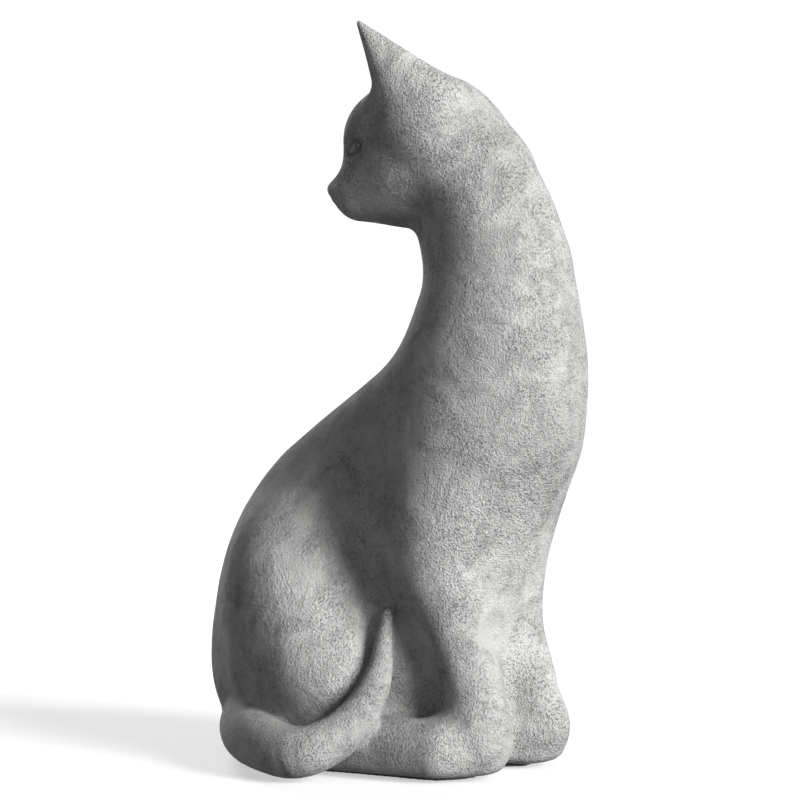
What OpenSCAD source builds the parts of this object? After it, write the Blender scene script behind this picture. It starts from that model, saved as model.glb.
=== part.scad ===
// Seated cat figurine in slip-cast stoneware, its head turned back over the right shoulder.
// Lengths are in millimetres. +Z is up, the chest faces -Y and the cat's left side is +X.
// The origin is on the underside of the felt, on the mid-plane of the body.
// The outer form is one smooth distance field. Each casting is a skin of rings laid on it.

/* [Size] */
// Height from the table to the tips of the ears
figure_h = 293; // [220:1:380]
// Thickness of the cast ceramic wall
wall_t = 7; // [6:0.5:8]

/* [Pose] */
// How far the head is turned from the chest, to the cat's right, in degrees
head_turn = 150; // [146:1:154]

/* [Neck joint] */
// Height of the joint above the foot
seam_z = 198; // [196:1:200]
// Depth of the spigot that the head stands on
spigot_len = 9; // [6:1:12]
// Gap that the joining slip fills
slip_gap = 0.3; // [0.2:0.1:0.5]

/* [Base] */
// Thickness of the plate that closes the foot
plate_t = 6; // [4:0.5:8]
// Radius of the vent hole in the plate
vent_r = 5; // [3:0.5:7]
// How far the vent hole lies behind the origin
vent_y = 36; // [20:1:44]
// Thickness of the felt under the foot
felt_t = 1.5; // [1:0.5:3]

/* [Facets] */
// Points round a ring of the body and of the head
ring_n = 64; // [40:8:72]
// Rings on the outside of the body
body_rings = 44; // [30:1:46]
// Rings on the outside of the head
head_rings = 26; // [18:1:30]

/* [Hidden] */

ceramic = [0.60, 0.60, 0.59];
ceramic_dark = [0.52, 0.52, 0.51];
felt_colour = [0.16, 0.16, 0.17];

// The forms below are drawn for a ceramic height of 291 and scaled to the height asked for.
form_h = 291;
k = (figure_h - felt_t) / form_h;
wall = wall_t / k;
gap = slip_gap / k;
spigot = spigot_len / k;
foot_round = 4;
hit = 0.04;
felt_inset = 4.5;
foot_outline_z = 0.2;

// Rows of a stack: height, centre x, centre y, half width, half length.
hull_rows = [
    [-20, 0, 22, 33, 46], [2, 0, 23, 37, 54], [14, 0, 24.5, 40, 62], [30, 0, 26, 42, 66.5],
    [55, 0, 27, 41, 64.5], [80, 0, 22, 36, 65.2], [100, 0, 13.5, 32, 63.2], [120, 0, -1, 30, 59.5],
    [135, 0, -16, 29.5, 53], [150, 0, -31, 29.5, 43], [165, 0, -43, 28, 33], [180, 0, -48.5, 25, 26],
    [200, 0, -50, 18, 18], [212, 0, -47, 10, 10]];
chest_rows = [
    [50, 0, -27, 18, 18], [75, 0, -31, 25.5, 25.5], [92, 0, -34.5, 31.2, 31.2], [108, 0, -40, 33.4, 33.4],
    [125, 0, -45.5, 35, 35], [142, 0, -48, 34.2, 34.2], [160, 0, -48.5, 32.5, 32.5],
    [178, 0, -48.5, 29, 29], [195, 0, -48.8, 26, 26], [212, -1, -46, 23.5, 23.5],
    [228, -3, -39, 22, 22], [240, -5, -32, 17, 17]];
leg_rows = [
    [6, 19, -48.5, 11.5, 11.5], [18, 18, -51, 12, 12], [34, 17.5, -49.5, 12.2, 12.2],
    [55, 19, -41, 13.2, 13.2], [76, 21.5, -35.5, 17, 17], [98, 19.5, -35.5, 20.5, 20.5],
    [118, 16.5, -39, 22, 22], [136, 12, -43, 22, 22], [152, 7, -47, 16, 16]];
// Rows of the tail: centre x, y and z, and radius.
tail_rows = [
    [22, 68, 13, 9], [6, 70.5, 13, 11.6], [-14, 66, 12.9, 11.8], [-33, 52.5, 12.4, 11.5],
    [-50, 36.5, 11.8, 11.1], [-63, 17, 10.8, 10.6], [-67, -2.5, 9.9, 9.8], [-58.5, -13.5, 14.9, 8.7],
    [-47.3, -18.7, 25.1, 7.2], [-38.1, -19.2, 37.7, 5.3], [-34.5, -18.9, 49.8, 3.5],
    [-33, -19.3, 61.1, 1.8]];

// Directions of the head: towards the nape, and towards the head's own left side.
nape = [sin(head_turn), cos(head_turn), 0];
side = [cos(head_turn), -sin(head_turn), 0];
head_nape = 3;
head_side = 21.5;

function to_head(p) = [p * nape - head_nape, p * side - head_side, p.z];
function from_head(q) = nape * (q.x + head_nape) + side * (q.y + head_side) + [0, 0, q.z];

// Rounded union, rounded cut and the distance to each kind of form.
function join_d(a, b, r) = min(a, b) - pow(max(r - abs(a - b), 0), 2) / (4 * r);
function cut_d(a, b, r) = -join_d(-a, -b, r);

function egg_d(p, c, r) =
    let (q = p - c)
    let (near = norm([q.x / r.x, q.y / r.y, q.z / r.z]))
    let (slope = norm([q.x / pow(r.x, 2), q.y / pow(r.y, 2), q.z / pow(r.z, 2)]))
    slope < 0.0001 ? -min(r) : near * (near - 1) / slope;

function limb_d(p, a, b, ra, rb) =
    let (ab = b - a, len2 = ab * ab, dr = ra - rb, side2 = len2 - dr * dr)
    let (pa = p - a, y = pa * ab, z = y - len2)
    let (cross_v = pa * len2 - ab * y, x2 = cross_v * cross_v, edge = sign(dr) * dr * dr * x2)
    sign(z) * side2 * z * z * len2 > edge ? sqrt(x2 + z * z * len2) / len2 - rb :
    sign(y) * side2 * y * y * len2 < edge ? sqrt(x2 + y * y * len2) / len2 - ra :
    (sqrt(x2 * side2 / len2) + y * dr) / len2 - ra;

function row_at(rows, i, t) =
    let (a = rows[max(i - 1, 0)], b = rows[i], c = rows[i + 1], d = rows[min(i + 2, len(rows) - 1)])
    let (h = c[0] - b[0], mb = (c - a) * h / (c[0] - a[0]), mc = (d - b) * h / (d[0] - b[0]))
    b * (2 * pow(t, 3) - 3 * t * t + 1) + mb * (pow(t, 3) - 2 * t * t + t)
    + c * (3 * t * t - 2 * pow(t, 3)) + mc * (pow(t, 3) - t * t);

function smooth_rows(rows, n = 5) = [
    for (i = [0:len(rows) - 2], j = [0:n - 1]) row_at(rows, i, j / n),
    rows[len(rows) - 1]];

function tables(rows) = [for (j = [1:4]) [for (r = smooth_rows(rows)) [r[0], r[j]]]];

hull_tab = tables(hull_rows);
chest_tab = tables(chest_rows);
leg_tab = tables(leg_rows);

function stack_d(p, tab, low, high, r = 8) =
    let (x = p.x - lookup(p.z, tab[0]), y = p.y - lookup(p.z, tab[1]))
    let (a = lookup(p.z, tab[2]), b = lookup(p.z, tab[3]))
    let (near = norm([x / a, y / b]), slope = norm([x / (a * a), y / (b * b)]))
    let (d = near < 0.05 ? -min(a, b) : 0.9 * near * (near - 1) / slope)
    cut_d(cut_d(d, p.z - high, r), low - p.z, r);

function legs_d(p) =
    let (q = [abs(p.x), p.y, p.z])
    let (leg = stack_d(q, leg_tab, 2, 152))
    let (paw = limb_d(q, [19, -46, 9.5], [20.3, -53.3, 13.2], 13.6, 11.8))
    let (web = limb_d(p, [0, -30, 80], [0, -38, 10], 24, 12))
    let (hind_foot = limb_d(q, [42.5, 16, 9.5], [31, -42, 9], 13.2, 12.6))
    join_d(join_d(join_d(leg, paw, 10), web, 8), hind_foot, 7);

// The haunch leans back above lean_z. Its front edge is a crease that softens towards the rump.
haunch_lean = 0.3;
lean_z = 50;
haunch_mid = [33, 19, 48.5];
haunch_r = [25.5, 30, 48];
function ease(t) = let (u = min(max(t, 0), 1)) u * u * (3 - 2 * u);
function crease(y) = 3 + 29 * ease((y + 12) / 60);
function trunk_d(p) =
    let (hull = stack_d(p, hull_tab, -30, 214), chest = stack_d(p, chest_tab, 46, 238))
    let (rise = p.z - lean_z)
    let (haunch = egg_d([abs(p.x), p.y - haunch_lean * rise, p.z], haunch_mid, haunch_r))
    join_d(join_d(hull, chest, 18), haunch, crease(p.y + 0.2 * rise));

// The flat of the face on each side of the nose: a point on it and its direction, as nape, side and height.
face_at = [-23, 10, 247];
face_out = [-0.62, 0.7, -0.35];
function head_d(p) =
    let (q = to_head(p), m = [q.x, abs(q.y), q.z])
    let (skull = egg_d(q, [9, 0, 243.5], [32.5, 26, 28]))
    let (upper = limb_d(q, [13, 0, 243], [28, 1, 229], 26, 26.5))
    let (lower = limb_d(q, [28, 1, 229], [38, 4, 203], 26.5, 26))
    let (muzzle = limb_d(q, [-1, 0, 231.5], [-22.2, 0, 227], 15.6, 5.8))
    let (jaw = limb_d(m, [5, 3.5, 229.6], [-16.4, 2, 221.6], 14.4, 6.4))
    let (dome = cut_d(join_d(skull, min(upper, lower), 8), (m - face_at) * face_out, 12))
    join_d(join_d(dome, muzzle, 9), jaw, 8);

// Fillet between the legs and the trunk, by height.
leg_fillet_tab = [[25, 6], [90, 14]];
// The whole form without ears and tail. Parts far from p are left out, because they cannot reach it.
function form_d(p) =
    let (trunk = trunk_d(p))
    let (low = p.z < 165 ? join_d(trunk, legs_d(p), lookup(p.z, leg_fillet_tab)) : trunk)
    p.z > 165 ? join_d(low, head_d(p), 9) : low;

function foot_d(p) = cut_d(form_d(p), -p.z, foot_round);

// An ear is a cone flattened from side to side, with a hollow in front.
ear_flat = 0.8;
function ear_d(p, s) =
    let (h = to_head(p), q = [h.x, (s * h.y - 15) / ear_flat, h.z])
    let (fin = limb_d(q, [11, -2, 254], [-13.6, 3, 289.8], 18, 1.1))
    let (hollow = limb_d(q, [-14, 5, 252], [-26.8, 7, 289], 13, 11.5))
    cut_d(fin * 0.85, -hollow * 0.8, 1.5);

// Where a ray from c meets a level of the form: found from outside, or from inside.
body_reach = 130;
head_reach = 75;
crown_reach = 40;
function from_outside(c, dir, r, tries = 60) =
    let (d = foot_d(c + dir * r))
    d < hit || tries == 0 || r < 2 ? c + dir * r : from_outside(c, dir, r - max(d * 0.8, hit), tries - 1);

function from_inside(c, dir, depth, r = 0, tries = 60) =
    let (d = -depth - form_d(c + dir * r))
    d < hit || tries == 0 ? c + dir * r : from_inside(c, dir, depth, r + max(d * 0.8, hit), tries - 1);

function spoke(i) = [cos(360 * i / ring_n), sin(360 * i / ring_n), 0];
function outer_ring(c, reach) = [for (i = [0:ring_n - 1]) from_outside(c, spoke(i), reach)];
function inner_ring(c, depth) = [for (i = [0:ring_n - 1]) from_inside(c, spoke(i), depth)];

// Same outline drawn in by a radial distance, at another height.
function drawn_in(ring, c, by, z) =
    [for (p = ring) let (v = [p.x - c.x, p.y - c.y], keep = 1 - by / norm(v))
        [c.x + v.x * keep, c.y + v.y * keep, z]];

// Middle of the body's rings and of the head's rings, by height.
body_mid = [[0, 5], [75, 5], [110, -6], [130, -20], [150, -36], [170, -46], [200, -49]];
function body_c(z) = [0, lookup(z, body_mid), z];
nape_mid = [[198, 37], [212, 28], [225, 19], [245, 10], [275, 5]];
side_mid = [[198, 4], [212, 3], [225, 0], [275, 0]];
function head_c(z) = from_head([lookup(z, nape_mid), lookup(z, side_mid), z]);

// Skin over a list of rings. The ends are closed by a point each, or the list runs round to its start.
module skin(rings, n, first = undef, last = undef) {
    count = len(rings);
    ringed = is_undef(first);
    spans = ringed ? count : count - 1;
    flat_pts = [for (r = rings) each r];
    walls = [for (i = [0:spans - 1], j = [0:n - 1])
        let (a = i * n, b = (i + 1) % count * n, j2 = (j + 1) % n)
        each [[a + j, b + j, b + j2], [a + j, b + j2, a + j2]]];
    start_fan = ringed ? [] : [for (j = [0:n - 1]) [count * n, j, (j + 1) % n]];
    top = (count - 1) * n;
    end_fan = ringed ? [] : [for (j = [0:n - 1]) [count * n + 1, top + (j + 1) % n, top + j]];
    polyhedron(
        points = ringed ? flat_pts : concat(flat_pts, [first, last]),
        faces = concat(walls, start_fan, end_fan),
        convexity = 10);
}

module on_felt() translate([0, 0, felt_t]) scale(k) children();

socket_wall = 3.4;
socket_z = seam_z - spigot - gap;

module body_shell() color(ceramic) on_felt() {
    foot_z = [0, 0.6, 1.6, 3.2];
    step = (seam_z - 6) / (body_rings - 5);
    outer_z = concat(foot_z, [for (i = [0:body_rings - 5]) 6 + step * i]);
    outer = [for (z = outer_z) outer_ring(body_c(z), body_reach)];
    seam = outer[len(outer) - 1];
    mouth = drawn_in(seam, body_c(seam_z), socket_wall, seam_z);
    floor_ring = drawn_in(seam, body_c(seam_z), socket_wall, socket_z);
    inner_n = body_rings - 10;
    inner = [for (i = [0:inner_n]) let (z = socket_z * (1 - i / inner_n)) inner_ring(body_c(z), wall)];
    skin(concat(outer, [mouth, floor_ring], inner), ring_n);
}

module head_shell() color(ceramic) on_felt() {
    c_top = head_c(form_h);
    crown = from_outside([c_top.x, c_top.y, 250], [0, 0, 1], crown_reach);
    vault = from_inside([c_top.x, c_top.y, 245], [0, 0, 1], wall);
    rise = crown.z - seam_z;
    outer = [for (i = [0:head_rings - 1])
        outer_ring(head_c(seam_z + rise * sin(90 * i / head_rings)), head_reach)];
    c = head_c(seam_z);
    tip_z = seam_z - spigot;
    lip = [for (z = [tip_z, seam_z]) drawn_in(outer[0], c, socket_wall + gap, z)];
    throat = drawn_in(inner_ring(c, wall), c, 0, tip_z);
    inner_n = head_rings - 6;
    inner = [for (i = [inner_n - 1:-1:0])
        inner_ring(head_c(seam_z + (vault.z - seam_z) * sin(90 * i / inner_n)), wall)];
    skin(concat(inner, [throat], lip, outer), ring_n, vault, crown);
}

// Ear: rings square to a line from inside the skull to the tip. Its foot is laid on the skull.
ear_n = 20;
ear_steps = 7;
ear_foot = 0.25;
ear_low = 0.5;
ear_high = 0.96;
ear_reach = 30;
function ear_hit(c, dir, s, r, tries = 60) =
    let (d = ear_d(c + dir * r, s))
    d < hit || tries == 0 || r < 0.3 ? c + dir * r : ear_hit(c, dir, s, r - max(d * 0.8, hit), tries - 1);
function ear_ring(c, across, ahead, s) =
    [for (j = [0:ear_n - 1]) let (a = 360 * j / ear_n)
        ear_hit(c, across * cos(a) + ahead * sin(a), s, ear_reach)];
function lay_on(p, down, tries = 40) =
    let (d = form_d(p))
    abs(d) < hit || tries == 0 ? p : lay_on(p + down * d * 0.8, down, tries - 1);

module ear(s) color(ceramic) on_felt() {
    root = from_head([7.8, s * 14, 262]);
    tip = from_head([-13.4, s * 17.4, form_h]);
    line = (tip - root) / norm(tip - root);
    across = cross(line, nape) / norm(cross(line, nape));
    ahead = cross(line, across);
    steps = [for (i = [0:ear_steps]) ear_low + (ear_high - ear_low) * i / ear_steps];
    rings = [for (t = steps) ear_ring(root + (tip - root) * t, across, ahead, s)];
    foot_c = root + (tip - root) * ear_foot;
    foot = [for (p = ear_ring(foot_c, across, ahead, s)) lay_on(p, -line)];
    middle = lay_on(foot_c, -line);
    inner = [for (p = foot) lay_on((p + middle) / 2, -line)];
    skin(concat([inner, foot], rings), ear_n, middle, tip);
}

module ear_left() ear(1);
module ear_right() ear(-1);

// Tail: a tapering tube laid against the haunch, its tip standing free.
// The first rings of its path lie hidden in the rump and are left out.
tail_n = 14;
tail_fine = 3;
tail_first = 7;
function bend(i, t) =
    let (r = tail_rows, last = len(r) - 1)
    let (a = r[max(i - 1, 0)], b = r[i], c = r[min(i + 1, last)], d = r[min(i + 2, last)])
    0.5 * (2 * b + (c - a) * t + (2 * a - 5 * b + 4 * c - d) * t * t + (3 * b - a - 3 * c + d) * pow(t, 3));
tail_path = [
    for (i = [0:len(tail_rows) - 2], j = [0:tail_fine - 1]) bend(i, j / tail_fine),
    tail_rows[len(tail_rows) - 1]];
function xyz(row) = [row[0], row[1], row[2]];
function uphill(p, e = 0.5) =
    let (g = [foot_d(p + [e, 0, 0]) - foot_d(p - [e, 0, 0]),
        foot_d(p + [0, e, 0]) - foot_d(p - [0, e, 0]),
        foot_d(p + [0, 0, e]) - foot_d(p - [0, 0, e])])
    g / norm(g);
function clear_of_body(p, tries = 8) =
    let (d = foot_d(p))
    d > gap - hit || tries == 0 ? p : clear_of_body(p + uphill(p) * (gap - d), tries - 1);

module tail() color(ceramic_dark) on_felt() {
    last = len(tail_path) - 1;
    rings = [for (i = [tail_first:last])
        let (c = xyz(tail_path[i]), run = xyz(tail_path[min(i + 1, last)]) - xyz(tail_path[max(i - 1, 0)]))
        let (along = run / norm(run), up = [0, 0, 1] * (1 - i / last) + [-1, 0.2, 0] * i / last)
        let (out = cross(along, up) / norm(cross(along, up)), top = cross(out, along))
        [for (j = [0:tail_n - 1]) let (a = -360 * j / tail_n)
            clear_of_body(c + (out * cos(a) + top * sin(a)) * tail_path[i][3])]];
    tip = tail_path[last];
    tip_run = xyz(tip) - xyz(tail_path[last - 1]);
    start = clear_of_body(xyz(tail_path[tail_first]));
    skin(rings, tail_n, start, xyz(tip) + tip_run / norm(tip_run) * tip[3]);
}

function flat(ring) = [for (p = ring) [p.x, p.y] * k];

module base_plate() color(ceramic_dark) difference() {
    translate([0, 0, felt_t]) linear_extrude(plate_t) polygon(flat(inner_ring(body_c(0.5), wall + gap)));
    translate([0, vent_y, felt_t - 1]) cylinder(h = plate_t + 2, r = vent_r, $fn = 64);
}

module felt_base() color(felt_colour) difference() {
    foot = outer_ring(body_c(foot_outline_z), body_reach);
    linear_extrude(felt_t) polygon(flat(drawn_in(foot, body_c(0), felt_inset, 0)));
    translate([0, vent_y, -1]) cylinder(h = felt_t + 2, r = vent_r + 3, $fn = 64);
}

body_shell();
head_shell();
ear_left();
ear_right();
tail();
base_plate();
felt_base();
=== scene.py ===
import math

import bmesh
import bpy
import numpy as np
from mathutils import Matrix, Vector


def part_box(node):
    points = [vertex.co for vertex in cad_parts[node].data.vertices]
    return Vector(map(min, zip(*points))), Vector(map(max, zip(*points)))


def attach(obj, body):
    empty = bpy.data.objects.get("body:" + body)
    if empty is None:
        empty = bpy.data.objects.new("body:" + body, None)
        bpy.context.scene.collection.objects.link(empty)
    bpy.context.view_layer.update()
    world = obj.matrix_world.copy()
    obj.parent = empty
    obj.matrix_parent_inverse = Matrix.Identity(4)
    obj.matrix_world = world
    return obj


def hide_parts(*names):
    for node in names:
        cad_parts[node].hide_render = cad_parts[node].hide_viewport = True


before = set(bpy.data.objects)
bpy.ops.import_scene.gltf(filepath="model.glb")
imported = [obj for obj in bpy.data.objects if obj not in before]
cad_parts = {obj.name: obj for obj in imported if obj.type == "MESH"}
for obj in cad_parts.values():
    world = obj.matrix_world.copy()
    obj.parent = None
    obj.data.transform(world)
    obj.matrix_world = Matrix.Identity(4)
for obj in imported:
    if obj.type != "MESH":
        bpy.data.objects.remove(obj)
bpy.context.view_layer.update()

# ---------------------------------------------------------------------------
# The figure's form: a smooth distance field in millimetres, measured from the
# ceramic's own underside. It follows the same rows and forms as the CAD model,
# and adds the finer modelling of the face, ears and paws.
# ---------------------------------------------------------------------------

MM = 0.001
FELT_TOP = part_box("felt_base")[1][2]
TIP_TOP = max(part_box("ear_left")[1][2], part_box("ear_right")[1][2])
FORM_TIP = 291.0
METRES_PER_MM = (TIP_TOP - FELT_TOP) / FORM_TIP
SEAM_Z = 198.0
WALL = 7.0
FOOT_ROUND = 4.0
# The hollow that opens at the foot is drawn only up to here, because nothing shows above it.
HOLLOW_TOP = 24.0
# The tail lies below this height, and the ears above EAR_BASE.
TAIL_TOP = 80.0
EAR_BASE = 255.0

# Rows of a stack: height, centre x, centre y, half width, half length.
HULL_ROWS = [
    (-20, 0, 22, 33, 46), (2, 0, 23, 37, 54), (14, 0, 24.5, 40, 62), (30, 0, 26, 42, 66.5),
    (55, 0, 27, 41, 64.5), (80, 0, 22, 36, 65.2), (100, 0, 13.5, 32, 63.2), (120, 0, -1, 30, 59.5),
    (135, 0, -16, 29.5, 53), (150, 0, -31, 29.5, 43), (165, 0, -43, 28, 33), (180, 0, -48.5, 25, 26),
    (200, 0, -50, 18, 18), (212, 0, -47, 10, 10)]
CHEST_ROWS = [
    (50, 0, -27, 18, 18), (75, 0, -31, 25.5, 25.5), (92, 0, -34.5, 31.2, 31.2), (108, 0, -40, 33.4, 33.4),
    (125, 0, -45.5, 35, 35), (142, 0, -48, 34.2, 34.2), (160, 0, -48.5, 32.5, 32.5),
    (178, 0, -48.5, 29, 29), (195, 0, -48.8, 26, 26), (212, -1, -46, 23.5, 23.5),
    (228, -3, -39, 22, 22), (240, -5, -32, 17, 17)]
LEG_ROWS = [
    (6, 19, -48.5, 11.5, 11.5), (18, 18, -51, 12, 12), (34, 17.5, -49.5, 12.2, 12.2),
    (55, 19, -41, 13.2, 13.2), (76, 21.5, -35.5, 17, 17), (98, 19.5, -35.5, 20.5, 20.5),
    (118, 16.5, -39, 22, 22), (136, 12, -43, 22, 22), (152, 7, -47, 16, 16)]
# Rows of the tail: centre x, y and z, and radius.
TAIL_ROWS = [
    (22, 68, 13, 9), (6, 70.5, 13, 11.6), (-14, 66, 12.9, 11.8), (-33, 52.5, 12.4, 11.5),
    (-50, 36.5, 11.8, 11.1), (-63, 17, 10.8, 10.6), (-67, -2.5, 9.9, 9.8), (-58.5, -13.5, 14.9, 8.7),
    (-47.3, -18.7, 25.1, 7.2), (-38.1, -19.2, 37.7, 5.3), (-34.5, -18.9, 49.8, 3.5),
    (-33, -19.3, 61.1, 1.8)]

# The head's own directions: towards the nape and towards its left side.
HEAD_TURN = math.radians(150)
NAPE = np.array([math.sin(HEAD_TURN), math.cos(HEAD_TURN), 0.0])
SIDE = np.array([math.cos(HEAD_TURN), -math.sin(HEAD_TURN), 0.0])
HEAD_NAPE = 3.0
HEAD_SIDE = 21.5
# The flat of the face on each side of the nose: a point on it and its direction,
# as nape, side and height.
FACE_AT = np.array([-23.0, 10.0, 247.0])
FACE_OUT = np.array([-0.62, 0.70, -0.35])
EAR_FLAT = 0.8


def join(a, b, r):
    """Union of two fields with a fillet of about r."""
    return np.minimum(a, b) - np.maximum(r - np.abs(a - b), 0) ** 2 / (4 * r)


def cut(a, b, r):
    """Intersection of two fields with a rounded edge."""
    return -join(-a, -b, r)


def egg(p, centre, radii):
    q = p - np.array(centre, float)
    r = np.array(radii, float)
    near = np.linalg.norm(q / r, axis=1)
    slope = np.linalg.norm(q / r ** 2, axis=1)
    return near * (near - 1) / np.maximum(slope, 1e-6)


def limb(p, a, b, ra, rb):
    """A round cone from a to b."""
    a, b = np.array(a, float), np.array(b, float)
    ab = b - a
    len2 = ab @ ab
    dr = ra - rb
    side2 = len2 - dr * dr
    pa = p - a
    y = pa @ ab
    z = y - len2
    x2 = ((pa * len2 - ab * y[:, None]) ** 2).sum(1)
    edge = np.sign(dr) * dr * dr * x2
    d = (np.sqrt(x2 * side2 / len2) + y * dr) / len2 - ra
    at_a = np.sign(y) * side2 * y * y * len2 < edge
    d = np.where(at_a, np.sqrt(x2 + y * y * len2) / len2 - ra, d)
    at_b = np.sign(z) * side2 * z * z * len2 > edge
    return np.where(at_b, np.sqrt(x2 + z * z * len2) / len2 - rb, d)


def smooth_rows(rows, steps=8):
    """Rows of a stack with a smooth curve through them."""
    r = np.array(rows, float)
    out = []
    for i in range(len(r) - 1):
        a, b, c, d = r[max(i - 1, 0)], r[i], r[i + 1], r[min(i + 2, len(r) - 1)]
        h = c[0] - b[0]
        mb = (c - a) * h / (c[0] - a[0])
        mc = (d - b) * h / (d[0] - b[0])
        for t in np.arange(steps) / steps:
            out.append(b * (2 * t ** 3 - 3 * t * t + 1) + mb * (t ** 3 - 2 * t * t + t)
                       + c * (3 * t * t - 2 * t ** 3) + mc * (t ** 3 - t * t))
    out.append(r[-1])
    return np.array(out)


def smooth_path(rows, steps=4):
    """Points of the tail with a smooth curve through them."""
    r = np.array(rows, float)
    out = []
    for i in range(len(r) - 1):
        a, b, c, d = r[max(i - 1, 0)], r[i], r[i + 1], r[min(i + 2, len(r) - 1)]
        for t in np.arange(steps) / steps:
            out.append(0.5 * (2 * b + (c - a) * t + (2 * a - 5 * b + 4 * c - d) * t * t
                              + (3 * b - a - 3 * c + d) * t ** 3))
    out.append(r[-1])
    return np.array(out)


HULL, CHEST, LEG = smooth_rows(HULL_ROWS), smooth_rows(CHEST_ROWS), smooth_rows(LEG_ROWS)
TAIL = smooth_path(TAIL_ROWS)


def stack(p, rows, low, high, r=8):
    cx, cy, a, b = (np.interp(p[:, 2], rows[:, 0], rows[:, j]) for j in (1, 2, 3, 4))
    x, y = p[:, 0] - cx, p[:, 1] - cy
    near = np.sqrt((x / a) ** 2 + (y / b) ** 2)
    slope = np.maximum(np.sqrt((x / a ** 2) ** 2 + (y / b ** 2) ** 2), 1e-6)
    d = np.where(near < 0.05, -np.minimum(a, b), 0.9 * near * (near - 1) / slope)
    return cut(cut(d, p[:, 2] - high, r), low - p[:, 2], r)


def mirrored(p):
    return np.stack([np.abs(p[:, 0]), p[:, 1], p[:, 2]], 1)


def leaning(p):
    """Leans a form back towards +Y with height."""
    return np.stack([p[:, 0], p[:, 1] - 0.3 * (p[:, 2] - 50), p[:, 2]], 1)


def to_head(p):
    return np.stack([p @ NAPE - HEAD_NAPE, p @ SIDE - HEAD_SIDE, p[:, 2]], 1)


def legs(p):
    q = mirrored(p)
    paw = limb(q, (19, -46, 9.5), (20.3, -53.3, 13.2), 13.6, 11.8)
    web = limb(p, (0, -30, 80), (0, -38, 10), 24, 12)
    hind_foot = limb(q, (42.5, 16, 9.5), (31, -42, 9), 13.2, 12.6)
    return join(join(join(stack(q, LEG, 2, 152), paw, 10), web, 8), hind_foot, 7)


def trunk(p):
    hull = stack(p, HULL, -30, 214)
    chest = stack(p, CHEST, 46, 238)
    haunch = egg(leaning(mirrored(p)), (33, 19, 48.5), (25.5, 30, 48))
    back = np.clip((p[:, 1] + 0.2 * (p[:, 2] - 50) + 12) / 60, 0, 1)
    crease = 3 + 29 * back * back * (3 - 2 * back)
    return join(join(hull, chest, 18), haunch, crease)


def head(p):
    q = to_head(p)
    m = q.copy()
    m[:, 1] = np.abs(m[:, 1])
    skull = egg(q, (9, 0, 243.5), (32.5, 26, 28))
    nape = np.minimum(limb(q, (13, 0, 243), (28, 1, 229), 26, 26.5),
                      limb(q, (28, 1, 229), (38, 4, 203), 26.5, 26))
    muzzle = limb(q, (-1, 0, 231.5), (-22.2, 0, 227), 15.6, 5.8)
    jaw = limb(m, (5, 3.5, 229.6), (-16.4, 2, 221.6), 14.4, 6.4)
    mask = (m - FACE_AT) @ FACE_OUT
    form = join(join(cut(join(skull, nape, 8), mask, 12), muzzle, 9), jaw, 8)
    socket = egg(m, (-25.5, 9.4, 243.2), (7.6, 7.0, 4.8))
    form = cut(form, -socket, 2.0)
    tilted = m.copy()
    tilted[:, 2] -= 0.22 * (m[:, 1] - 10)
    almond = np.abs(egg(tilted, (-18.5, 9.8, 242.4), (8, 5.0, 2.6))) - 0.6
    form = cut(form, -np.maximum(almond, -form - 1.3), 0.5)
    nose = egg(q, (-26.2, 0, 227.3), (2.4, 3.4, 1.9))
    form = join(form, nose, 2.5)
    lip = np.minimum(limb(m, (-28.2, 0, 225.2), (-26.6, 0, 221.8), 0.9, 0.9),
                     limb(m, (-26.6, 0, 221.8), (-18.5, 7.0, 220.6), 0.9, 0.9))
    return cut(form, -np.maximum(lip, -form - 0.7), 0.5)


def ears(p):
    q = to_head(p)
    q = np.stack([q[:, 0], (np.abs(q[:, 1]) - 15) / EAR_FLAT, q[:, 2]], 1)
    fin = limb(q, (11, -2, 254), (-13.6, 3, 289.8), 18, 1.1)
    hollow = limb(q, (-14, 5, 252), (-26.8, 7, 289), 13, 11.5)
    return cut(fin * 0.85, -hollow * 0.8, 1.2)


def tail(p):
    d = None
    for a, b in zip(TAIL[:-1], TAIL[1:]):
        part = limb(p, a[:3], b[:3], a[3], b[3])
        d = part if d is None else np.minimum(d, part)
    return d


def body(p):
    """Trunk, legs and head, without ears or tail."""
    fillet = np.interp(p[:, 2], (25, 90), (6, 14))
    low = join(trunk(p), legs(p), fillet)
    return join(low, head(p), 9)


def figure(p):
    """The whole ceramic figure, cut flat at its foot, with the hollow that opens there."""
    core = body(p)
    with_ears = join(core, ears(p), 5)
    standing = cut(with_ears, -p[:, 2], FOOT_ROUND)
    near_tail = p[:, 2] < TAIL_TOP
    out = standing.copy()
    out[near_tail] = join(standing[near_tail], tail(p[near_tail]), 3)
    hollow = cut(core + WALL, p[:, 2] - HOLLOW_TOP, 4)
    return np.maximum(out, -hollow)


# ---------------------------------------------------------------------------
# From the field to a mesh
# ---------------------------------------------------------------------------

STEP = 0.85
SKIRT = 2.0
# Nearer the middle than this, the root of the tail belongs to the rump.
TAIL_FROM = -5.0
LOW = np.array([-84.0, -92.0, -6.0])
HIGH = np.array([66.0, 96.0, 298.0])
BLOCK = 16


def in_chunks(field, p, size=60000):
    return np.concatenate([field(p[i:i + size]) for i in range(0, len(p), size)])


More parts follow.
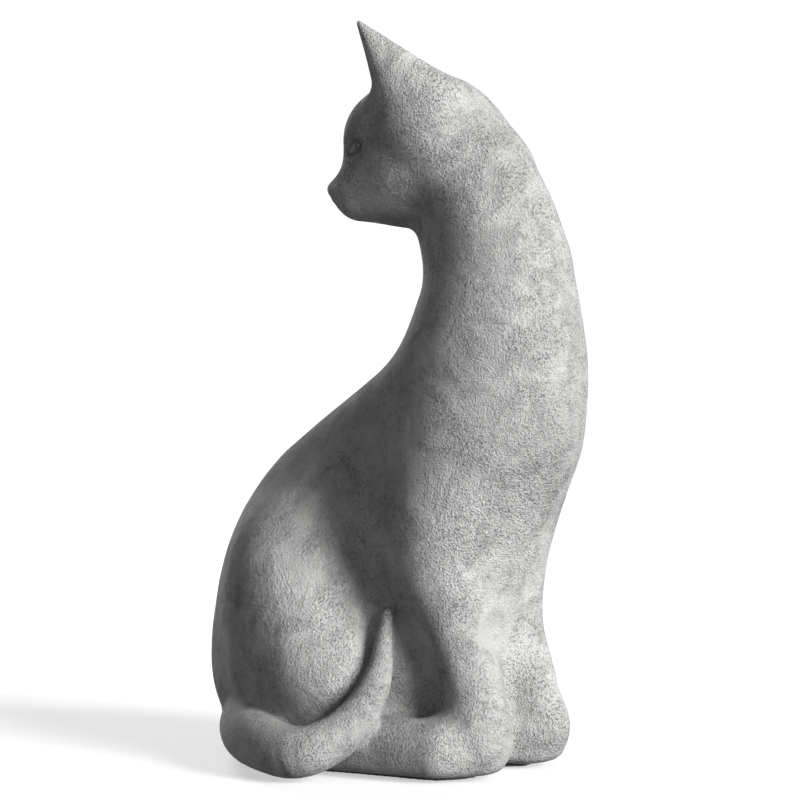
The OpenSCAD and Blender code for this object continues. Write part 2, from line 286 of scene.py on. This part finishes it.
def sample(field):
    """The field on a grid. Only blocks near the surface are sampled finely."""
    n = (np.ceil((HIGH - LOW) / STEP / BLOCK).astype(int)) * BLOCK
    grid = np.ones(tuple(n), np.float32)
    corners = np.stack(np.meshgrid(*[np.arange(0, m, BLOCK) for m in n], indexing="ij"), -1).reshape(-1, 3)
    size = BLOCK
    while size > 2:
        middle = LOW + (corners + (size - 1) / 2) * STEP
        d = in_chunks(field, middle)
        reach = size * STEP * 1.25 + 2
        for c in corners[d < -reach]:
            grid[c[0]:c[0] + size, c[1]:c[1] + size, c[2]:c[2] + size] = -1
        corners = corners[np.abs(d) <= reach]
        size //= 2
        halves = np.stack(np.meshgrid([0, size], [0, size], [0, size], indexing="ij"), -1).reshape(-1, 3)
        corners = (corners[:, None] + halves[None]).reshape(-1, 3)
    offsets = np.stack(np.meshgrid(range(size), range(size), range(size), indexing="ij"), -1).reshape(-1, 3)
    cells = (corners[:, None] + offsets[None]).reshape(-1, 3)
    grid[tuple(cells.T)] = in_chunks(field, LOW + cells * STEP)
    return grid


def surface_net(grid):
    """One vertex in each cell that the surface crosses, and one quad for each crossed grid edge."""
    inside = grid < 0
    shape = np.array(grid.shape)
    stride = np.array([shape[1] * shape[2], shape[2], 1])
    spots, owners, quads = [], [], []
    for axis in range(3):
        unit = np.eye(3, dtype=int)[axis]
        near = [slice(1, -1)] * 3
        far = [slice(1, -1)] * 3
        far[axis] = slice(2, None)
        crossed = np.argwhere(inside[tuple(near)] != inside[tuple(far)]) + 1
        v0 = grid[tuple(crossed.T)].astype(float)
        v1 = grid[tuple((crossed + unit).T)].astype(float)
        spot = crossed + unit * (v0 / (v0 - v1))[:, None]
        u, v = np.eye(3, dtype=int)[(axis + 1) % 3], np.eye(3, dtype=int)[(axis + 2) % 3]
        cells = np.stack([(crossed - o) @ stride for o in (0 * u, u, u + v, v)], 1)
        flip = v0 > 0
        cells[flip] = cells[flip][:, ::-1]
        quads.append(cells)
        owners.append(cells.T.ravel())
        spots.append(np.tile(spot, (4, 1)))
    ids, index = np.unique(np.concatenate(owners), return_inverse=True)
    spots = np.concatenate(spots)
    count = np.bincount(index)
    verts = np.stack([np.bincount(index, spots[:, j]) / count for j in range(3)], 1)
    faces = np.searchsorted(ids, np.concatenate(quads))
    return LOW + verts * STEP, faces


def gradient(field, p, e=0.3):
    g = np.empty_like(p)
    for j in range(3):
        shift = np.zeros(3)
        shift[j] = e
        g[:, j] = in_chunks(field, p + shift) - in_chunks(field, p - shift)
    return g / (2 * e)


def relaxed(verts, faces, rounds=2):
    """Evens out the mesh, then puts each vertex back on the surface."""
    a = faces[:, [0, 1, 2, 3]].ravel()
    b = faces[:, [1, 2, 3, 0]].ravel()
    degree = np.bincount(np.concatenate([a, b]), minlength=len(verts))[:, None]
    for _ in range(rounds):
        total = np.stack([np.bincount(np.concatenate([a, b]), np.concatenate([verts[b, j], verts[a, j]]),
                                      minlength=len(verts)) for j in range(3)], 1)
        verts = verts * 0.4 + total / degree * 0.6
    d = in_chunks(figure, verts)
    g = gradient(figure, verts)
    length = np.linalg.norm(g, axis=1)
    push = np.clip(d / np.maximum(length, 0.4), -0.6, 0.6) / np.maximum(length, 1e-6)
    return verts - g * push[:, None]


def vertex_normals(verts, faces):
    n = np.cross(verts[faces[:, 2]] - verts[faces[:, 0]], verts[faces[:, 3]] - verts[faces[:, 1]])
    out = np.stack([np.bincount(faces.ravel(), np.repeat(n[:, j], 4), minlength=len(verts))
                    for j in range(3)], 1)
    return out / np.maximum(np.linalg.norm(out, axis=1), 1e-9)[:, None]


# ---------------------------------------------------------------------------
# Relief of the surface: noise with a fixed seed
# ---------------------------------------------------------------------------

def lattice(seed):
    rng = np.random.RandomState(seed)
    table = rng.permutation(256)
    ways = rng.normal(size=(256, 3))
    return np.concatenate([table, table]), ways / np.linalg.norm(ways, axis=1)[:, None]


def noise(p, size, seed):
    """Smooth noise between about -0.8 and 0.8, with lumps of about the given size."""
    table, ways = lattice(seed)
    q = p / size
    cell = np.floor(q).astype(int)
    f = q - cell
    w = f * f * f * (f * (f * 6 - 15) + 10)
    cell &= 255
    total = 0
    for dx in (0, 1):
        for dy in (0, 1):
            for dz in (0, 1):
                row = table[(cell[:, 0] + dx) & 255] + cell[:, 1] + dy
                key = table[(table[row & 255] + cell[:, 2] + dz) & 255]
                value = (ways[key] * (f - (dx, dy, dz))).sum(1)
                along_x = w[:, 0] if dx else 1 - w[:, 0]
                along_y = w[:, 1] if dy else 1 - w[:, 1]
                along_z = w[:, 2] if dz else 1 - w[:, 2]
                total = total + value * along_x * along_y * along_z
    return total * 1.5


def relief(p):
    """How far the surface stands out, in millimetres: hand-worked waves, grain and small pits."""
    waves = 0.28 * noise(p, 26, 1) + 0.10 * noise(p, 11, 2)
    patch = np.clip(0.6 + 1.1 * noise(p, 20, 3), 0.15, 1.4)
    grain = 0.06 * noise(p, 4.0, 4) + 0.05 * noise(p, 2.1, 5)
    pits = -0.12 * np.clip(noise(p, 2.4, 6) - 0.36, 0, 1) / 0.4
    return waves + patch * (grain + pits)


# ---------------------------------------------------------------------------
# Materials
# ---------------------------------------------------------------------------

def new_material(name):
    mat = bpy.data.materials.new(name)
    mat.use_nodes = True
    tree = mat.node_tree
    shader = tree.nodes["Principled BSDF"]
    coords = tree.nodes.new("ShaderNodeTexCoord")
    return mat, tree, shader, coords.outputs["Object"]


def noise_node(tree, vector, size_mm, detail=4.0, rough=0.55, warp=0.0):
    node = tree.nodes.new("ShaderNodeTexNoise")
    node.inputs["Scale"].default_value = 1 / (size_mm * MM)
    node.inputs["Detail"].default_value = detail
    node.inputs["Roughness"].default_value = rough
    node.inputs["Distortion"].default_value = warp
    tree.links.new(vector, node.inputs["Vector"])
    return node.outputs["Fac"]


def ramp(tree, value, stops):
    node = tree.nodes.new("ShaderNodeValToRGB")
    node.color_ramp.elements[0].position, node.color_ramp.elements[1].position = stops[0][0], stops[-1][0]
    for place, _ in stops[1:-1]:
        node.color_ramp.elements.new(place)
    for element, (place, grey) in zip(node.color_ramp.elements, stops):
        element.position = place
        element.color = (grey, grey, grey, 1)
    tree.links.new(value, node.inputs["Fac"])
    return node.outputs["Color"]


def mix(tree, kind, factor, a, b):
    node = tree.nodes.new("ShaderNodeMix")
    node.data_type = "RGBA"
    node.blend_type = kind
    if isinstance(factor, float):
        node.inputs["Factor"].default_value = factor
    else:
        tree.links.new(factor, node.inputs["Factor"])
    for socket, value in ((node.inputs["A"], a), (node.inputs["B"], b)):
        if isinstance(value, tuple):
            socket.default_value = value
        else:
            tree.links.new(value, socket)
    return node.outputs["Result"]


def bump(tree, height, distance_mm, strength=1.0):
    node = tree.nodes.new("ShaderNodeBump")
    node.inputs["Distance"].default_value = distance_mm * MM
    node.inputs["Strength"].default_value = strength
    tree.links.new(height, node.inputs["Height"])
    return node.outputs["Normal"]


def stretched(tree, vector, x_mm, y_mm, z_mm):
    """The same point measured in different units along each axis, for streaks."""
    node = tree.nodes.new("ShaderNodeMapping")
    node.inputs["Scale"].default_value = (1 / (x_mm * MM), 1 / (y_mm * MM), 1 / (z_mm * MM))
    tree.links.new(vector, node.inputs["Vector"])
    return node.outputs["Vector"]


def maths(tree, kind, a, b=0.0, c=0.0):
    node = tree.nodes.new("ShaderNodeMath")
    node.operation = kind
    for socket, value in zip(node.inputs, (a, b, c)):
        if isinstance(value, float):
            socket.default_value = value
        else:
            tree.links.new(value, socket)
    return node.outputs[0]


def stoneware(name, tone=1.0, coarse=1.0):
    """Matte grey unglazed stoneware: cloudy patches, a pitted sandy grain with painted shade in its pits,
    and drag marks.
    """
    mat, tree, shader, vector = new_material(name)
    # Where the skin is open and pitted (1) and where it is rubbed smooth (0).
    open_skin = ramp(tree, noise_node(tree, vector, 26, 5, 0.62, 0.5), [(0.40, 0.12), (0.58, 1.0)])
    clouds = ramp(tree, noise_node(tree, vector, 48, 5, 0.6, 0.6), [(0.34, 0.84), (0.64, 1.10)])
    blotches = ramp(tree, noise_node(tree, vector, 15, 7, 0.68, 1.0),
                    [(0.36, 0.78), (0.5, 1.0), (0.66, 1.12)])
    grain = noise_node(tree, vector, 0.72, 3, 0.6)
    pits = ramp(tree, noise_node(tree, vector, 0.95, 3, 0.6), [(0.34, 0.0), (0.46, 1.0)])
    streaks = noise_node(tree, stretched(tree, vector, 6.0, 6.0, 0.7), 1 / MM, 3, 0.6)

    base = (0.43 * tone, 0.432 * tone, 0.424 * tone, 1)
    colour = mix(tree, "MULTIPLY", 1.0, base, clouds)
    colour = mix(tree, "MULTIPLY", 1.0, colour, blotches)
    grain_tone = ramp(tree, grain, [(0.3, 0.80), (0.5, 1.0), (0.72, 1.10)])
    colour = mix(tree, "MULTIPLY", 1.0, colour, grain_tone)
    # Painted shade: the colour is darkened by up to 30% in the pits, where the bump also sinks in.
    painted_pit_shade = mix(tree, "MIX", maths(tree, "MULTIPLY", open_skin, 0.3), (1, 1, 1, 1), pits)
    colour = mix(tree, "MULTIPLY", 1.0, colour, painted_pit_shade)
    tree.links.new(colour, shader.inputs["Base Color"])
    rough = ramp(tree, noise_node(tree, vector, 6, 4), [(0.3, 0.86), (0.7, 0.97)])
    tree.links.new(rough, shader.inputs["Roughness"])
    shader.inputs["Specular IOR Level"].default_value = 0.25

    coarse_part = maths(tree, "MULTIPLY_ADD", grain, 0.6, maths(tree, "MULTIPLY", pits, 0.5))
    height = maths(tree, "MULTIPLY", coarse_part, open_skin)
    height = maths(tree, "MULTIPLY_ADD", grain, 0.55, height)
    height = maths(tree, "MULTIPLY_ADD", streaks, 0.25, height)
    tree.links.new(bump(tree, height, 1.2 * coarse, 1.0), shader.inputs["Normal"])
    return mat


def felt_material(name):
    mat, tree, shader, vector = new_material(name)
    fibres = noise_node(tree, vector, 0.8, 5, 0.7, 1.5)
    colour = mix(tree, "MIX", fibres, (0.025, 0.025, 0.028, 1), (0.075, 0.075, 0.082, 1))
    tree.links.new(colour, shader.inputs["Base Color"])
    rough = ramp(tree, fibres, [(0.2, 0.9), (0.8, 1.0)])
    tree.links.new(rough, shader.inputs["Roughness"])
    shader.inputs["Sheen Weight"].default_value = 0.35
    tree.links.new(bump(tree, fibres, 0.3, 0.8), shader.inputs["Normal"])
    return mat


# ---------------------------------------------------------------------------
# Pieces
# ---------------------------------------------------------------------------

def piece_of(name, verts, faces, normals, keep, material):
    """One closed piece: the kept faces of the figure's surface.

    At its joints a skirt goes inward and is closed."""
    used = np.unique(faces[keep])
    index = np.full(len(verts), -1)
    index[used] = np.arange(len(used))
    mesh = bpy.data.meshes.new(name)
    placed = verts[used] * METRES_PER_MM + (0, 0, FELT_TOP)
    mesh.from_pydata(placed.tolist(), [], index[faces[keep]].tolist())
    shown = normals[used]
    bm = bmesh.new()
    bm.from_mesh(mesh)
    rims = [e for e in bm.edges if e.is_boundary]
    if rims:
        skirt = bmesh.ops.extrude_edge_only(bm, edges=rims)["geom"]
        bm.verts.index_update()
        inner = [e for e in skirt if isinstance(e, bmesh.types.BMEdge) and e.is_boundary]
        for edge in rims:
            for vert in edge.verts:
                for other in vert.link_edges:
                    far = other.other_vert(vert)
                    if far.index >= len(used) and not far.tag:
                        far.tag = True
                        far.co -= Vector(shown[vert.index]) * SKIRT * MM
        bmesh.ops.holes_fill(bm, edges=inner, sides=0)
        bmesh.ops.triangulate(bm, faces=[f for f in bm.faces if len(f.verts) > 4])
    bm.to_mesh(mesh)
    bm.free()
    mesh.shade_smooth()
    custom = np.zeros((len(mesh.vertices), 3))
    custom[:len(used)] = shown
    mesh.normals_split_custom_set_from_vertices(custom.tolist())
    obj = bpy.data.objects.new(name, mesh)
    bpy.context.collection.objects.link(obj)
    mesh.materials.append(material)
    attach(obj, "root")
    return obj


def make_castings():
    verts, faces = surface_net(sample(figure))
    verts = relaxed(verts, faces)
    normals = vertex_normals(verts, faces)
    calm = np.clip(verts[:, 2] / 1.5, 0, 1)
    verts = verts + normals * (relief(verts) * calm)[:, None]
    normals = vertex_normals(verts, faces)
    middle = verts[faces].mean(1)
    q = to_head(middle)
    core = in_chunks(body, middle)
    is_tail = ((in_chunks(tail, middle) < core) & (middle[:, 2] < TAIL_TOP)
               & (core > -2) & (middle[:, 0] < TAIL_FROM))
    is_ear = (in_chunks(ears, middle) < core) & (middle[:, 2] > EAR_BASE)
    is_head = (middle[:, 2] > SEAM_Z) & ~is_ear
    labels = {
        "tail": is_tail,
        "ear_left": is_ear & (q[:, 1] > 0),
        "ear_right": is_ear & (q[:, 1] <= 0),
        "head_shell": is_head,
        "body_shell": ~(is_tail | is_ear | is_head)}
    grey = stoneware("stoneware_grey")
    for node, keep in labels.items():
        obj = piece_of("cat_" + node, verts, faces, normals, keep, grey)
        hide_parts(node)


make_castings()


def make_felt():
    """Felt sheet: the CAD sheet remade from small faces, with a soft edge and a slightly uneven surface."""
    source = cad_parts["felt_base"]
    low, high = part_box("felt_base")
    rough = bpy.data.objects.new("felt_rough", source.data.copy())
    bpy.context.collection.objects.link(rough)
    fine = rough.modifiers.new("fine", "REMESH")
    fine.mode = "VOXEL"
    fine.voxel_size = 0.6 * MM
    soft = rough.modifiers.new("soft", "SMOOTH")
    soft.factor = 0.5
    soft.iterations = 2
    shaped = rough.evaluated_get(bpy.context.evaluated_depsgraph_get())
    mesh = bpy.data.meshes.new_from_object(shaped)
    bpy.data.objects.remove(rough)
    points = np.array([v.co[:] for v in mesh.vertices]) / MM
    normals = np.array([v.normal[:] for v in mesh.vertices])
    points += normals * (0.06 * noise(points, 1.6, 7) + 0.08 * noise(points, 7, 8) - 0.1)[:, None]
    points[:, 2] = np.clip(points[:, 2], 0, high[2] / MM)
    mesh.vertices.foreach_set("co", (points * MM).ravel())
    mesh.update()
    mesh.shade_smooth()
    obj = bpy.data.objects.new("cat_felt_base", mesh)
    bpy.context.collection.objects.link(obj)
    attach(obj, "root")
    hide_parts("felt_base")
    mesh.materials.clear()
    mesh.materials.append(felt_material("felt_dark"))


make_felt()

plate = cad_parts["base_plate"]
plate_material = stoneware("stoneware_wiped", tone=0.85, coarse=0.5)
for slot in plate.material_slots:
    slot.material = plate_material

# ---------------------------------------------------------------------------
# Stage, light and camera
# ---------------------------------------------------------------------------

# Near enough that no view's camera clips it.
WALL_FAR = 12.0
CAMERA_AZIMUTH = -52
CAMERA_FAR = 0.9
CAMERA_HEIGHT = 0.1455


def make_stage():
    bpy.ops.mesh.primitive_plane_add(size=2.2 * WALL_FAR, location=(0, 0, 0))
    floor = bpy.context.object
    floor.name = "floor"
    mat, _, shader, _ = new_material("floor_pale")
    shader.inputs["Base Color"].default_value = (0.6, 0.6, 0.6, 1)
    shader.inputs["Roughness"].default_value = 0.9
    shader.inputs["Emission Color"].default_value = (1, 1, 1, 1)
    shader.inputs["Emission Strength"].default_value = 0.5
    floor.data.materials.append(mat)
    floor.visible_diffuse = False

    # A white wall all round, far away. Only the camera sees it: it gives no light and casts no shadow.
    bpy.ops.mesh.primitive_uv_sphere_add(segments=48, ring_count=24, radius=WALL_FAR)
    wall = bpy.context.object
    wall.name = "studio_wall"
    mat, _, shader, _ = new_material("wall_white")
    shader.inputs["Base Color"].default_value = (0, 0, 0, 1)
    shader.inputs["Emission Color"].default_value = (1, 1, 1, 1)
    shader.inputs["Emission Strength"].default_value = 1.0
    wall.data.materials.append(mat)
    for ray in ("diffuse", "glossy", "transmission", "volume_scatter", "shadow"):
        setattr(wall, "visible_" + ray, False)


def direction(azimuth, elevation):
    """Unit vector from the figure towards a light or camera, measured as the camera's azimuth is."""
    a, e = math.radians(azimuth), math.radians(elevation)
    return Vector((math.sin(a) * math.cos(e), -math.cos(a) * math.cos(e), math.sin(e)))


def soft_sun(name, azimuth, elevation, spread, power):
    """A large soft light, far away."""
    way = direction(azimuth, elevation)
    data = bpy.data.lights.new(name, "SUN")
    data.angle = math.radians(spread)
    data.energy = power
    obj = bpy.data.objects.new(name, data)
    obj.location = way * 2
    obj.rotation_euler = (-way).to_track_quat("-Z", "Y").to_euler()
    bpy.context.collection.objects.link(obj)


def make_camera():
    data = bpy.data.cameras.new("camera")
    data.lens = 100
    data.sensor_width = 36
    obj = bpy.data.objects.new("camera", data)
    obj.location = direction(CAMERA_AZIMUTH, 0) * CAMERA_FAR + Vector((0, 0, CAMERA_HEIGHT))
    obj.rotation_euler = (math.radians(90), 0, math.radians(CAMERA_AZIMUTH))
    bpy.context.collection.objects.link(obj)
    bpy.context.scene.camera = obj


def make_world():
    """A studio whose walls are pale near the horizon and dim above."""
    world = bpy.data.worlds.new("studio")
    world.use_nodes = True
    tree = world.node_tree
    back = tree.nodes["Background"]
    coords = tree.nodes.new("ShaderNodeTexCoord")
    split = tree.nodes.new("ShaderNodeSeparateXYZ")
    tree.links.new(coords.outputs["Generated"], split.inputs["Vector"])
    height = tree.nodes.new("ShaderNodeMapRange")
    height.inputs["From Min"].default_value = -1
    tree.links.new(split.outputs["Z"], height.inputs["Value"])
    sky = ramp(tree, height.outputs["Result"],
               [(0.0, 0.08), (0.48, 0.08), (0.49, 0.74), (0.59, 0.74), (0.66, 0.07), (1.0, 0.07)])
    tree.links.new(sky, back.inputs["Color"])
    back.inputs["Strength"].default_value = 1.0
    bpy.context.scene.world = world


make_stage()
make_world()
make_camera()
soft_sun("key", CAMERA_AZIMUTH + 53, 18, 32, 6.6)
soft_sun("rim", CAMERA_AZIMUTH - 160, 25, 25, 1.8)
bpy.context.scene.view_settings.view_transform = "Standard"
